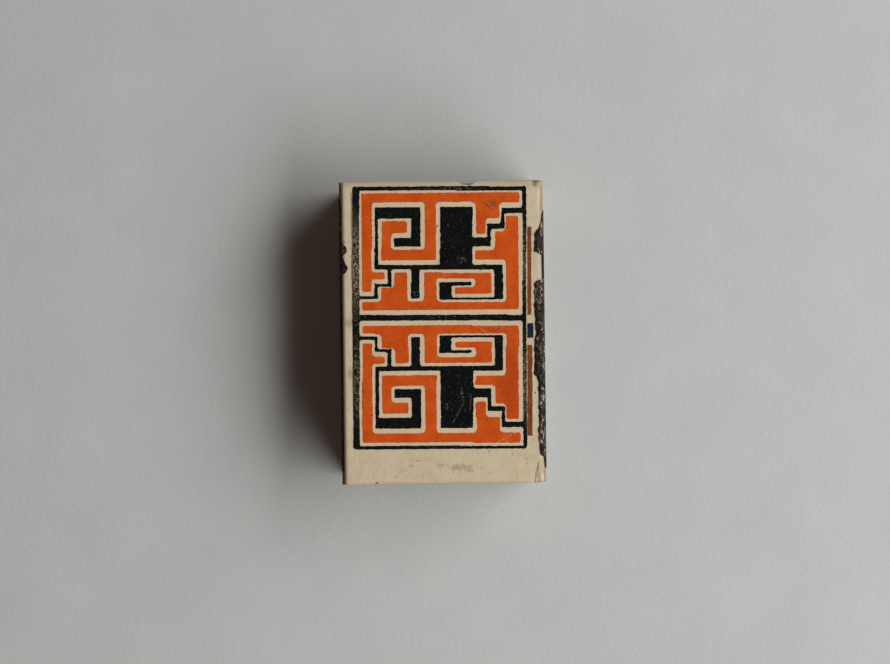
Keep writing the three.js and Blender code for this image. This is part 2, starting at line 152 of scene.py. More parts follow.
class Finish:
    """One material: its surface shader and the nodes that feed it."""

    SPOT_WOBBLE = 1.8  # how far a spot's edge wanders, in parts of its reach
    SPOT_CORE = 0.35  # the part of its reach within which a spot is at full strength
    LINE_WOBBLE_MM = 0.8
    LINE_CORE = 0.4  # the part of its width within which a line is at full strength
    LINE_FADE_MM = 0.2

    def __init__(self, name):
        self.material = bpy.data.materials.new(name)
        self.material.use_nodes = True
        self.tree = self.material.node_tree
        self.surface = self.tree.nodes["Principled BSDF"]
        self.place = self.node("ShaderNodeTexCoord", "Object")
        self.x, self.y, self.z = [
            self.node("ShaderNodeSeparateXYZ", letter, Vector=self.place) * (1 / MM)
            for letter in "XYZ"
        ]

    def node(self, kind, output=0, settings=None, **inputs):
        node = self.tree.nodes.new(kind)
        for name, value in (settings or {}).items():
            setattr(node, name, value)
        for name, value in inputs.items():
            self.put(value, node.inputs[name.replace("_", " ")])
        return Value(self.tree, node.outputs[output])

    def put(self, value, socket):
        if isinstance(value, Value):
            self.tree.links.new(value.socket, socket)
        else:
            socket.default_value = value

    def noise(self, size_mm, detail=3.0, stretch=(1, 1, 1), shift=0.0):
        where = self.node(
            "ShaderNodeMapping", Vector=self.place, Scale=stretch, Location=(shift, shift, 0)
        )
        scale = 1 / (size_mm * MM)
        return self.node("ShaderNodeTexNoise", Vector=where, Scale=scale, Detail=detail)

    def ramp(self, value, start, end):
        """0 before start, 1 after end, smooth between; start may be the larger."""
        settings = {"interpolation_type": "SMOOTHSTEP"}
        if start < end:
            return self.node(
                "ShaderNodeMapRange", settings=settings, Value=value, From_Min=start, From_Max=end
            )
        low = self.node(
            "ShaderNodeMapRange", settings=settings, Value=value, From_Min=end, From_Max=start
        )
        return 1 - low

    def spot(self, x_mm, y_mm, across_mm, along_mm, wobble):
        """A soft oval mark on the top face, its edge broken up by a noise."""
        across = (self.x - x_mm) * (1 / across_mm)
        along = (self.y - y_mm) * (1 / along_mm)
        distance = (across * across + along * along).root()
        return self.ramp(distance + (wobble - 0.5) * self.SPOT_WOBBLE, 1.0, self.SPOT_CORE)

    def spots(self, places, wobble):
        """Several spots as one: at each point, the strongest of them."""
        joined = self.spot(*places[0], wobble)
        for place in places[1:]:
            joined = joined.larger(self.spot(*place, wobble))
        return joined

    def line(self, start, end, width_mm, wobble):
        """A thin mark from one place on the top face to another."""
        length = math.dist(start, end)
        ux, uy = (end[0] - start[0]) / length, (end[1] - start[1]) / length
        dx, dy = self.x - start[0], self.y - start[1]
        along = dx * ux + dy * uy
        aside = abs(dy * ux - dx * uy + (wobble - 0.5) * self.LINE_WOBBLE_MM)
        fade = self.LINE_FADE_MM
        begun = self.ramp(along, -fade, fade)
        inside = begun.smaller(self.ramp(along, length + fade, length - fade))
        return self.ramp(aside, width_mm, width_mm * self.LINE_CORE).smaller(inside)

    def mix(self, amount, under, over):
        node = self.tree.nodes.new("ShaderNodeMix")
        node.data_type = "RGBA"
        self.put(amount, node.inputs[MIX_AMOUNT])
        self.put(colour(under), node.inputs[MIX_UNDER])
        self.put(colour(over), node.inputs[MIX_OVER])
        return Value(self.tree, node.outputs[MIX_RESULT])

    def finish(self, base, roughness, relief, depth_mm, specular):
        """relief is a height from 0 to 1, and depth_mm how deep 1 is."""
        bump = self.node("ShaderNodeBump", Height=relief, Distance=depth_mm * MM)
        self.put(colour(base), self.surface.inputs["Base Color"])
        self.put(roughness, self.surface.inputs["Roughness"])
        self.put(bump, self.surface.inputs["Normal"])
        self.surface.inputs["Specular IOR Level"].default_value = specular
        return self.material


def colour(value):
    """A colour as the sockets want it; sockets pass through."""
    return value if isinstance(value, Value) else (*value, 1)


print("finish helpers ready")

# %% [markdown]
# The light in the picture comes from one wide window on the right, a little towards the
# near end. The shadow on the left tells where it stands: it is darkest near the box and
# fades out far from it, which gives the highest and the lowest rays. They were set by
# comparing the fade with the picture. The soft shade along both ends shows that the
# window is also wide.

# %% Light
HIGHEST_RAY = 54  # degrees above the table
LOWEST_RAY = 20
LAMP_DISTANCE = 0.9  # metres
LAMP_SPREAD = 48  # degrees, half the window's width as the box sees it
LAMP_AZIMUTH = -8  # degrees from straight right, below zero towards the near end

middle = math.radians((HIGHEST_RAY + LOWEST_RAY) / 2)
lamp_tall = 2 * LAMP_DISTANCE * math.tan(math.radians((HIGHEST_RAY - LOWEST_RAY) / 2))
lamp_wide = 2 * LAMP_DISTANCE * math.tan(math.radians(LAMP_SPREAD))
lamp_turn = Matrix.Rotation(math.radians(LAMP_AZIMUTH), 4, "Z")
lamp_tip = Matrix.Rotation(math.pi / 2 - middle, 4, "Y")
lamp_frame = lamp_turn @ lamp_tip @ Matrix.Translation((0, 0, LAMP_DISTANCE))
bpy.ops.object.light_add(type="AREA")
window = bpy.context.object
window.matrix_world = lamp_frame
window.data.shape = "RECTANGLE"
window.data.size = lamp_tall
window.data.size_y = lamp_wide
print("lamp at", round(math.degrees(middle)), "degrees,", round(lamp_wide, 2), "m wide")

# %% [markdown]
# The lamp's power isn't guessed. The light that each patch of the window sends to the
# box is summed up, and the power is set so that a matte face renders at its own colour.

# %% The lamp's power
LAMP_LEVEL = 0.93  # how bright a white, matte, level face is under this lamp alone
PATCHES = 24  # along each side of the window

facing = lamp_frame.to_3x3() @ Vector((0, 0, -1))
level_per_watt = 0.0
for i in range(PATCHES):
    for j in range(PATCHES):
        up = ((i + 0.5) / PATCHES - 0.5) * lamp_tall
        aside = ((j + 0.5) / PATCHES - 0.5) * lamp_wide
        ray = lamp_frame @ Vector((up, aside, 0))
        leaving = max(0.0, -ray.normalized().dot(facing))
        level_per_watt += leaving * ray.normalized().z / ray.length_squared
level_per_watt /= PATCHES**2 * math.pi**2
window.data.energy = LAMP_LEVEL / level_per_watt
print("lamp power", round(window.data.energy, 2), "W")

# %% [markdown]
# The room gives a weak, slightly warm light from everywhere. What the camera sees past
# the floor's edge is only a pale backdrop, so the world looks paler to the camera's own
# rays than it shines on the box.

# %% The room
WORLD_LEVEL = 0.085
WORLD_COLOUR = (1.0, 0.68, 0.56)
BACKDROP_LEVEL = 0.6
BACKDROP_COLOUR = (0.97, 0.98, 1.0)

world = bpy.data.worlds.new("room_light")
world.use_nodes = True
room = world.node_tree
rays = room.nodes.new("ShaderNodeLightPath")
seen = Value(room, rays.outputs["Is Camera Ray"])
seen = seen.larger(Value(room, rays.outputs["Is Glossy Ray"]))
seen = seen.larger(Value(room, rays.outputs["Is Transmission Ray"]))
room_level = WORLD_LEVEL + seen * (BACKDROP_LEVEL - WORLD_LEVEL)
tint = room.nodes.new("ShaderNodeMix")
tint.data_type = "RGBA"
tint.inputs[MIX_UNDER].default_value = colour(WORLD_COLOUR)
tint.inputs[MIX_OVER].default_value = colour(BACKDROP_COLOUR)
background = room.nodes["Background"]
room.links.new(seen.socket, tint.inputs[MIX_AMOUNT])
room.links.new(tint.outputs[MIX_RESULT], background.inputs["Color"])
room.links.new(room_level.socket, background.inputs["Strength"])
bpy.context.scene.world = world
bpy.context.scene.view_settings.view_transform = "Standard"
print("room light at", WORLD_LEVEL)

# %% [markdown]
# The box lies on a plain sheet of matte paper. A plane is enough for it, but paper isn't
# quite flat: it has a fine tooth and wide, weak waves, which a bump gives.

# %% Paper under the box
FLOOR_SIDE = 1.6  # metres
PAPER_DARK = rgb(169, 172, 171)
PAPER_LIGHT = rgb(182, 185, 183)

bpy.ops.mesh.primitive_plane_add(size=FLOOR_SIDE, location=(0, 0, 0))
floor = bpy.context.object
floor.name = "paper_floor"
sheet = Finish("floor_paper")
tooth = sheet.noise(0.9, 5)
waves = sheet.noise(14, 2)
shade = tooth * 0.35 + waves * 0.65
paper_colour = sheet.mix(shade, PAPER_DARK, PAPER_LIGHT)
matte_paper = sheet.finish(paper_colour, 1.0, shade, depth_mm=0.12, specular=0.0)
floor.data.materials.append(matte_paper)
print("floor side:", floor.dimensions.x, "m")

# %% [markdown]
# The sleeve is one strip of thin card, folded and glued. It is cream where it was never
# printed, and age has mottled it: a deeper tone in wide clouds and smaller patches, fine
# fibres that lie along the box, brown grit, and here and there a fox mark.

# %% Aged card
TOP = sleeve_high.z / MM
CREAM = rgb(208, 195, 168)
CREAM_DEEP = rgb(158, 141, 113)
GRIT_BROWN = rgb(140, 120, 90)
FOXING_BROWN = rgb(140, 110, 76)

card = Finish("aged_card")
clouds = card.noise(9, 3)
fibres = card.noise(0.5, 4, (1, 0.35, 1))
grit = card.noise(0.22, 2)
mottle = card.noise(1.8, 4, shift=0.8)
base = card.mix(clouds * 0.35 + mottle * 0.4 + fibres * 0.25, CREAM_DEEP, CREAM)
base = card.mix(card.ramp(grit, 0.62, 0.75) * 0.45, base, GRIT_BROWN)
foxing = card.ramp(card.noise(0.9, 3, shift=0.4), 0.63, 0.72)
base = card.mix(foxing * 0.4, base, FOXING_BROWN)
print("card base made of clouds, fibres, grit and foxing")

# %% [markdown]
# Every mark on the top face has its own place: rusty smudges near the bottom edge, two
# stains and a faint line in the left margin, dark dots, painted shade along a crease and in
# a crushed notch at the right corners, paler card where the far edge is torn bare, and
# painted highlights on the lifted right corners. A spot is given by the x and y of its
# middle and its reach across and along the box, all in millimetres.

# %% Marks of age on the card, with painted shade and highlights
RUST = rgb(128, 88, 52)
MARGIN_BROWN = rgb(134, 98, 62)
GHOST_BROWN = rgb(98, 68, 46)
DOT_BLACK = rgb(30, 26, 22)
CREASE_PAINTED_SHADE = rgb(104, 86, 64)
NOTCH_PAINTED_SHADE = rgb(58, 47, 36)
PALE_CREAM_AND_HIGHLIGHT = rgb(216, 207, 186)
RUST_SPOT = (2.5, -23.6, 2.6, 0.8)
FAINT_RUST = [(4.6, -24.2, 1.2, 0.4), (-0.6, -23.2, 1.4, 0.4), (-4.5, -22.4, 1.0, 0.25)]
MARGIN_SPOTS = [(-16.3, 1.8, 1.3, 1.1), (-16.2, -7, 0.6, 1.4)]
DOTS = [
    (-11.8, -26.2, 0.35, 0.25), (16.1, -10.75, 0.25, 0.25), (-0.67, 18.6, 0.3, 0.3),
    (-16.85, 14.8, 0.25, 0.25), (-16.75, 11.1, 0.25, 0.25), (-17, 16, 0.2, 0.2),
]
BARE_EDGE = (4.4, 26.4, 3.2, 0.7)
# painted highlights on the lifted corner ears, which face the lamp
CORNER_HIGHLIGHTS = [(17.3, 25.6, 0.5, 1.2), (17.3, -25.5, 0.5, 1.2)]

rust = card.spot(*RUST_SPOT, fibres).larger(card.spots(FAINT_RUST, fibres) * 0.7)
base = card.mix(rust * 0.42, base, RUST)
base = card.mix(card.spots(MARGIN_SPOTS, grit) * 0.5, base, MARGIN_BROWN)
ghost = card.line((-15.72, -20), (-15.6, 24.6), 0.2, clouds)
base = card.mix(ghost * 0.7, base, GHOST_BROWN)
base = card.mix(card.spots(DOTS, grit) * 0.9, base, DOT_BLACK)
# painted shade along the crease at the near right corner; its relief further down is the real
# crease
crease_with_shade = card.line((15.9, -26.4), (16.5, -22.9), 0.25, fibres)
base = card.mix(crease_with_shade * 0.55, base, CREASE_PAINTED_SHADE)
# painted shade: a dark spot in the crushed notch at the far right corner
notch_shade = card.spot(16.35, 26, 0.45, 0.9, grit)
base = card.mix(notch_shade * 0.85, base, NOTCH_PAINTED_SHADE)
# paler torn card at the far edge's nick, and painted highlights on the two right corners
torn_edge_and_highlight = card.spot(*BARE_EDGE, fibres).larger(card.spots(CORNER_HIGHLIGHTS, grit))
base = card.mix(torn_edge_and_highlight * 0.7, base, PALE_CREAM_AND_HIGHLIGHT)
print("marks placed:", len(FAINT_RUST) + 1, "rust spots and", len(DOTS), "dots")

# %% [markdown]
# The folds along the box are rubbed brown, most of all beside the top and at the foot.
# The left fold faces away from the lamp, so it gets painted shade near the top. Both ends
# are soiled, and the card between the inks is a little warmer. Inside, and at its cut
# edges, the card is the grey of raw board.

# %% Rubbed folds, painted shade on the left fold, and raw board
RUB_BROWN = rgb(104, 80, 56)
LEFT_FOLD_PAINTED_SHADE = rgb(92, 70, 52)
FAR_SOIL = rgb(142, 136, 118)
INKED_CARD = rgb(208, 176, 142)
END_SOIL = rgb(146, 126, 94)
RAW_BOARD = rgb(139, 128, 106)


def dress(node, material):
    """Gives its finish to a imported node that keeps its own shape."""
    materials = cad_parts[node].data.materials
    materials.clear()
    materials.append(material)
    print(node, "wears", material.name)


near_fold = card.ramp(abs(card.x) + (fibres - 0.5) * 0.9, 16.9, 17.6)
# painted shade: the left fold turns away from the lamp, so its colour is darkened
left_fold = card.ramp(card.x + (fibres - 0.5) * 0.8, -16.7, -17.7)
left_shade = left_fold * card.ramp(card.z, TOP - 3, TOP - 1)
base = card.mix(left_shade * 0.6, base, LEFT_FOLD_PAINTED_SHADE)
top_rub = near_fold * card.ramp(card.z, TOP - 2.4, TOP - 0.4)
base = card.mix(top_rub * 0.75, base, RUB_BROWN)
foot_rub = near_fold * card.ramp(card.z, 1.6, 0.5)
base = card.mix(foot_rub * 0.6, base, RUB_BROWN)
far_soil = card.ramp(card.y + (clouds - 0.5) * 2.5, 24.9, 25.9)
base = card.mix(far_soil * 0.45, base, FAR_SOIL)
print_across = card.ramp(abs(card.x + 0.4), 15, 14.4)
print_along = card.ramp(abs(card.y - 2.6), 22.8, 22.2)
base = card.mix(print_across.smaller(print_along) * 0.25, base, INKED_CARD)
end_soil = card.ramp(abs(card.y) + (clouds - 0.5) * 1.2, 25.9, 26.5)
base = card.mix(end_soil * 0.4, base, END_SOIL)
inside = card.ramp(abs(card.x), 17.55, 17.45)
inside = inside.smaller(card.ramp(card.z, TOP - 0.3, TOP - 0.38))
inside = inside.smaller(card.ramp(card.z, 0.3, 0.38))
cut_edge = card.ramp(abs(card.y), 26.35, 26.45)
base = card.mix(inside.larger(cut_edge * 0.6), base, RAW_BOARD)
card_relief = fibres * 0.5 + clouds * 0.3 + grit * 0.2 - crease_with_shade * 0.4
card_roughness = 0.72 + fibres * 0.2
dress("sleeve", card.finish(base, card_roughness, card_relief, depth_mm=0.06, specular=0.12))

# %% [markdown]
# The print was pressed on with worn blocks, so no edge is straight and no corner sharp.
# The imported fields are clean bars, which is right for their size, but not for their
# look. We take a copy of each field, cut it into small squares with a grid of bisecting
# planes, soften it a little, and let a cloud texture push its points about sideways.
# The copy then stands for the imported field.

# %% Copies of the printed fields
PRINTED = {
    "print_black": "black_ink",
    "print_orange_upper_spiral": "orange_ink",
    "print_orange_upper_steps": "orange_ink",
    "print_orange_lower_spiral": "orange_ink",
    "print_orange_lower_steps": "orange_ink",
    "print_bar_upper": "brown_ink",
    "print_bar_lower": "brown_ink",
    "print_square": "navy_ink",
}
SAME_POINT = 1e-6  # metres
SAME_PLANE = 0.01  # radians


def choose(pieces):
    """Selects these objects and nothing else."""
    bpy.ops.object.select_all(action="DESELECT")
    for piece in pieces:
        piece.select_set(True)
    bpy.context.view_layer.objects.active = pieces[0]


def copy_of(node, name):
    """A new object with a mesh of its own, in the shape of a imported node."""
    piece = bpy.data.objects.new(name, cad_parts[node].data.copy())
    piece.data.materials.clear()
    bpy.context.scene.collection.objects.link(piece)
    return piece


def open_for_cutting(pieces):
    """Goes into edit mode and joins the triangles of each flat face into one."""
    choose(pieces)
    bpy.ops.object.mode_set(mode="EDIT")
    bpy.ops.mesh.select_all(action="SELECT")
    bpy.ops.mesh.remove_doubles(threshold=SAME_POINT)
    bpy.ops.mesh.dissolve_limited(angle_limit=SAME_PLANE)


inks = {node: copy_of(node, node.replace("print", "ink")) for node in PRINTED}
open_for_cutting(list(inks.values()))
print("printed fields copied:", len(inks))

# %% [markdown]
# The planes go through all the copies at once, first across the box and then along it.
# They leave a point every 0.3 mm, which is enough for an edge to wander.

# %% Cut into small squares
GRID_MM = 0.3
ON_PLANE = 1e-7  # metres


def cut_across(axis, where):
    """Cuts what is open in edit mode along a plane that is square to the axis."""
    place, normal = [0, 0, 0], [0, 0, 0]
    place[axis], normal[axis] = where, 1
    bpy.ops.mesh.select_all(action="SELECT")
    bpy.ops.mesh.bisect(plane_co=place, plane_no=normal, threshold=ON_PLANE)


print_low, print_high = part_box("print_black")
bar_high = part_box("print_bar_lower")[1]
for axis, low, high in [(0, print_low.x, bar_high.x), (1, print_low.y, print_high.y)]:
    for cut in range(1, int((high - low) / (GRID_MM * MM)) + 1):
        cut_across(axis, low + cut * GRID_MM * MM)
bpy.ops.object.mode_set(mode="OBJECT")
print("faces in the black field:", len(inks["print_black"].data.polygons))

# %% [markdown]
# Smoothing rounds the corners, but it also makes every field thinner. What it took is
# measured as the area that was lost for each length of rim, and the rim is pushed out
# again by that much. A rim point moves outwards and up or down at once, so it has to go
# further than the loss. Then the points are laid back on the two flat faces.

# %% Soften the corners, and give back what softening took
SOFTENING = {"black_ink": 5, "orange_ink": 14}  # rounds; the thin black lines bear fewer
SPREAD_MM = 0.04  # wet ink spreads past the block by this much
DIAGONAL = 1.4  # about the square root of 2
ink_low, ink_high = print_low.z, print_high.z


def covered(piece):
    """The area that a field of ink covers, seen from above."""
    return sum(face.area for face in piece.data.polygons if face.normal.z > 0.5)


def rim_length(piece):
    rim_faces = [face.area for face in piece.data.polygons if abs(face.normal.z) < 0.5]
    return sum(rim_faces) / (ink_high - ink_low)


for node, slot in PRINTED.items():
    if slot not in SOFTENING:
        continue
    piece = inks[node]
    before = covered(piece)
    choose([piece])
    bpy.ops.object.mode_set(mode="EDIT")
    bpy.ops.mesh.select_all(action="SELECT")
    bpy.ops.mesh.vertices_smooth(
        factor=0.5, repeat=SOFTENING[slot], xaxis=True, yaxis=True, zaxis=False
    )
    bpy.ops.mesh.normals_make_consistent(inside=False)
    bpy.ops.object.mode_set(mode="OBJECT")
    taken = (before - covered(piece)) / rim_length(piece)
    bpy.ops.object.mode_set(mode="EDIT")
    bpy.ops.transform.shrink_fatten(value=taken * DIAGONAL + SPREAD_MM * MM)
    bpy.ops.object.mode_set(mode="OBJECT")
    print(piece.name, "gave up", round(taken / MM, 3), "mm at its edges")
for piece in inks.values():
    for point in piece.data.vertices:
        point.co.z = ink_high if point.co.z > (ink_low + ink_high) / 2 else ink_low
print("fields laid flat again,", round((ink_high - ink_low) / MM, 3), "mm thick")

# %% [markdown]
# The two brown bars and the navy square are broader in the picture than their blocks
# were, and it is on the right that they spread. So their left edge stays, and the rest is
# stretched away from it.

# %% The narrow fields spread to the right
WIDER_MM = {"print_bar_upper": 0.16, "print_bar_lower": 0.08, "print_square": 0.15}
for node, wider in WIDER_MM.items():
    low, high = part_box(node)
    stretch = 1 + wider * MM / (high.x - low.x)
    for point in inks[node].data.vertices:
        point.co.x = low.x + (point.co.x - low.x) * stretch
print("fields made wider:", sorted(WIDER_MM))

# %% [markdown]
# A displace modifier moves each point by what a texture says at its place. Two of them,
# one for each direction, make the edges wander. The ink stays flat, because none of them
# moves a point up or down.

# %% Rough the edges
EDGE_NOISE = [  # direction, kind of noise, its size and its reach in millimetres
    ("X", "BLENDER_ORIGINAL", 0.5, 0.3),
    ("Y", "IMPROVED_PERLIN", 0.55, 0.3),
]


def cloud_texture(name, basis, size_mm):
    texture = bpy.data.textures.new(name, "CLOUDS")
    texture.noise_basis = basis
    texture.noise_scale = size_mm * MM
    return texture


def push_points(piece, texture, direction, reach_mm):
    """Adds a modifier that moves points by up to half the reach, either way."""
    push = piece.modifiers.new("rough", "DISPLACE")
    push.texture = texture
    push.direction = direction
    push.strength = reach_mm * MM
    push.mid_level = 0.5
    return push


def settle(piece):
    """Applies a piece's modifiers, so that its mesh keeps what they did."""
    choose([piece])
    for modifier in list(piece.modifiers):
        bpy.ops.object.modifier_apply(modifier=modifier.name)


for direction, basis, size_mm, reach_mm in EDGE_NOISE:
    texture = cloud_texture("edge_" + direction, basis, size_mm)
    for piece in inks.values():
        push_points(piece, texture, direction, reach_mm)
for piece in inks.values():
    settle(piece)
print("edges roughed on", len(inks), "fields")

# %% [markdown]
# Ink on soft card is never one flat colour. It mottles where the block pressed
# unevenly, and it flakes: small specks of card show through, most of all at the folds
# and creases. One function makes every ink: two tones mixed by clouds, and card specks
# where a fine noise passes a limit that is lower inside the worn places.

# %% Ink
CARD_SHOWS = rgb(190, 170, 138)


def make_ink(name, deep, bright, worn_places, speck_level, roughness, scars=(), smudges=()):
    """worn_places and smudges: a spot, its strength, and for a smudge its colour.
    scars: both ends of a line, and its width."""
    ink = Finish(name)
    cloud = ink.noise(2.6, 4)
    grain = ink.noise(0.28, 3)
    fine = ink.noise(0.13, 2, shift=0.5)
    worn = cloud * 0.12
    for place in worn_places:
        worn = worn.larger(ink.spot(*place[:4], grain) * place[4])
    paint = ink.mix(ink.ramp(cloud * 0.5 + grain * 0.5, 0.3, 0.7), deep, bright)
    for place in smudges:
        paint = ink.mix(ink.spot(*place[:4], grain) * place[4], paint, place[5])
    specks = ink.ramp(fine * 0.6 + grain * 0.4 + worn * 0.1, speck_level, speck_level + 0.05)
    for start, end, width in scars:
        scar = ink.line(start, end, width, grain) * ink.ramp(fine, 0.4, 0.6)
        specks = specks.larger(scar * 0.45)
    paint = ink.mix(specks * 0.8, paint, CARD_SHOWS)
    relief = grain * 0.6 + cloud * 0.4 - specks * 0.6
    return ink.finish(paint, roughness + cloud * 0.2, relief, depth_mm=0.03, specular=0.04)


ORANGE_WORN = [(8.8, 22.3, 1.6, 1.9, 0.5), (9, 0.4, 3.2, 0.9, 0.35), (11, -18.3, 1.8, 1, 0.6)]
ORANGE_SMUDGES = [
    (8.8, 22.4, 1.5, 1.5, 0.55, rgb(120, 58, 30)),
    (9.2, 0.5, 3.4, 0.8, 0.4, rgb(126, 60, 30)),
    (-14.3, -12, 0.6, 6, 0.25, rgb(120, 52, 24)),
    (11.5, -8, 3, 11, 0.6, rgb(158, 56, 16)),
]
ORANGE_SCARS = [
    ((9.4, -19.2), (12.6, -17.6), 0.1), ((7.6, 23.2), (9.9, 21.2), 0.1),
    ((5.6, 1.1), (8.6, -0.4), 0.09), ((8.2, 0.9), (12.4, 0.3), 0.08),
    ((8.6, -1.2), (11, 1.1), 0.08), ((10.2, -20), (11.6, -18.2), 0.08),
]
orange_ink = make_ink(
    "orange_ink", rgb(174, 62, 14), rgb(194, 84, 26), ORANGE_WORN, 0.66, 0.55,
    ORANGE_SCARS, ORANGE_SMUDGES,
)
print("orange ink ready")

# %% [markdown]
# Black is worn along the frame, where fingers rub it, and in a few places inside. Brown
# and navy are small and hardly worn. Each field gets its ink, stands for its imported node
# and rides on the sleeve.

# %% The other inks
BLACK_WORN = [
    (3.4, 12.7, 2, 1.4, 0.7), (-4.6, 6.8, 0.9, 1, 0.8), (0.6, -13, 0.6, 1.2, 0.9),
    (3.3, -11, 0.7, 3.4, 0.7), (14.4, -9, 1.4, 12, 1.2), (-15.05, 12, 1.8, 16, 1.3),
    (-15, -8, 1.6, 14, 1), (14.4, 13, 1.4, 12, 1), (0, 25.1, 15, 0.5, 0.7),
    (0, -20.2, 15, 0.5, 0.6), (0, 2.6, 15, 0.7, 0.5),
]
BLACK_SCARS = [((1.6, -16), (3.4, -12.5), 0.08), ((4.6, -14), (4.9, -11), 0.07)]
ink_finishes = {
    "orange_ink": orange_ink,
    "black_ink": make_ink(
        "black_ink", rgb(2, 4, 4), rgb(11, 15, 14), BLACK_WORN, 0.635, 0.6, BLACK_SCARS
    ),
    "brown_ink": make_ink("brown_ink", rgb(98, 50, 24), rgb(124, 68, 36), [], 0.64, 0.55),
    "navy_ink": make_ink("navy_ink", rgb(16, 24, 42), rgb(28, 38, 58), [], 0.68, 0.5),
}
for node, slot in PRINTED.items():
    piece = inks[node]
    piece.data.materials.append(ink_finishes[slot])
    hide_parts(node)
    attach(piece, "sleeve")
print("inks:", sorted(ink_finishes))

# %% [markdown]
# The striking coats were brushed on as a dark paste full of grit, and they have flaked.
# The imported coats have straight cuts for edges, so copies stand for them: they are cut
# across into narrow strips and roughed along the box, and where they lie flat on the
# top, across it too. On the fold they only move along it, so they stay on the card.

# %% Copies of the striking coats
STRIP_MM = 0.35
STRIPS = 139
TOP_CUTS_MM = (15.9, 16.1, 16.3, 16.5, 16.7)  # from the middle of the box, on both sides

coats = {node: copy_of(node, node.replace("striker", "coat"))
         for node in ("striker_right", "striker_left")}
coat_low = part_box("striker_right")[0]
cuts = [(1, coat_low.y + n * STRIP_MM * MM) for n in range(1, STRIPS + 1)]
cuts += [(0, side * x * MM) for side in (1, -1) for x in TOP_CUTS_MM]
open_for_cutting(list(coats.values()))
for axis, where in cuts:
    cut_across(axis, where)
bpy.ops.object.mode_set(mode="OBJECT")
print("coat faces:", [len(piece.data.polygons) for piece in coats.values()])

# %% [markdown]
# A wide noise and a fine one move the points along the box. A third moves them across
# it, but only those in a vertex group that holds the flat part of the lap.

# %% Rough the coats
COAT_NOISE = [  # direction, kind of noise, its size and its reach in millimetres
    ("Y", "BLENDER_ORIGINAL", 1.1, 1.1),
    ("X", "IMPROVED_PERLIN", 0.7, 0.7),
    ("Y", "BLENDER_ORIGINAL", 0.45, 0.35),
]
FLAT_DEPTH_MM = 0.15  # how far below the top face a point still counts as flat
FLAT_HALF_MM = 16.75  # where the fold begins

for piece in coats.values():
    flat = piece.vertex_groups.new(name="flat")
    top_points = [
        point.index for point in piece.data.vertices
        if point.co.z > sleeve_high.z - FLAT_DEPTH_MM * MM
        and abs(point.co.x) < FLAT_HALF_MM * MM
    ]
    flat.add(top_points, 1.0, "REPLACE")
for direction, basis, size_mm, reach_mm in COAT_NOISE:
    texture = cloud_texture("coat_" + direction, basis, size_mm)
    for piece in coats.values():
        push = push_points(piece, texture, direction, reach_mm)
        if direction == "X":
            push.vertex_group = "flat"
for node, piece in coats.items():
    settle(piece)
    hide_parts(node)
    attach(piece, "sleeve")
print("coats roughed:", sorted(piece.name for piece in coats.values()))

# %% [markdown]
# A black rim follows the edge of the laps, so the material needs to know where that is.
# A colour ramp serves as a table for it: place along the box in, reach of the lap out.
# The place runs from -1 at the near end to 1 at the far end.

# %% Where the laps end
RIGHT_LAP = [
    (0.8, 0.05), (0.7, 0.6), (0.64, 1.5), (0.53, 1.6), (0.5, 0.35), (0.35, 0.3),
    (0.32, 1.7), (0.12, 1.75), (0.09, 1.55), (-0.04, 1.6), (-0.08, 1.8), (-0.25, 1.8),
    (-0.275, 2), (-0.305, 1.3), (-0.53, 1.15), (-0.7, 1.3), (-0.815, 1), (-0.835, 0.4),
    (-0.905, 0.2),
]
LEFT_LAP = [
    (0.89, 0.15), (0.81, 0.5), (0.61, 0.45), (0.58, 1.1), (0.54, 1.5), (0.51, 0.5),
    (0.45, 1.1), (0.42, 1.6), (0.39, 0.45), (0, 0.5), (-0.45, 0.4), (-0.905, 0.45),
]
HALF_LENGTH = sleeve_high.y / MM
HALF_WIDTH = 17.9  # the laps are measured from here
WHITE_REACH = 2  # millimetres of reach that the brightest stop stands for
FIRST_STOPS = 2  # a new ramp comes with this many


def lap_reach(finish, lap):
    """How far the lap reaches over the top, read off by place along the box."""
    where = finish.y * (0.5 / HALF_LENGTH) + 0.5
    curve = finish.node("ShaderNodeValToRGB", Fac=where)
    stops = curve.socket.node.color_ramp.elements
    for share, reach in lap[FIRST_STOPS:]:
        stops.new(share / 2 + 0.5)
    for stop, (share, reach) in zip(stops, sorted(lap)):
        bright = reach / WHITE_REACH
        stop.position = share / 2 + 0.5
        stop.color = (bright, bright, bright, 1)
    return curve * WHITE_REACH


print("laps reach up to", max(reach for share, reach in RIGHT_LAP), "mm")

# %% [markdown]
# The paste is a near black brown with paler grains, and it dried in wrinkles: painted
# shade makes a thin dark line wherever a noise crosses its middle, with a painted
# highlight, a pale glint, beside it. Flakes have come off down to the card, and black
# blots and a black rim lie on the laps.

# %% Striking composition
PASTE_DARK, PASTE_PALE = rgb(28, 21, 17), rgb(56, 44, 36)
WRINKLE_BROWN = rgb(96, 80, 64)
PAINTED_GLINT_GREY = rgb(148, 138, 122)
FURROW_PAINTED_SHADE = rgb(10, 8, 7)
FLAKED_CARD = rgb(158, 146, 124)
BLOT_BLACK = rgb(12, 11, 10)
RIM_BLACK = rgb(9, 8, 7)

grit_coat = Finish("striking_composition")
grains = grit_coat.noise(0.3, 4)
patches = grit_coat.noise(1.1, 4, (1, 0.5, 1))
wrinkles = grit_coat.noise(0.45, 3, (1, 0.25, 1), 0.2)
coat = grit_coat.mix(grit_coat.ramp(grains, 0.35, 0.65), PASTE_DARK, PASTE_PALE)
coat = grit_coat.mix(grit_coat.ramp(wrinkles, 0.56, 0.66) * 0.6, coat, WRINKLE_BROWN)
on_top = grit_coat.ramp(grit_coat.z, TOP - 0.9, TOP - 0.1)
# painted shade: a thin dark line along the furrow of each wrinkle
furrow_noise = grit_coat.noise(1.5, 4, (1, 0.55, 1), 0.7)
furrow_with_shade = grit_coat.ramp(abs(furrow_noise - 0.5), 0.035, 0.008)
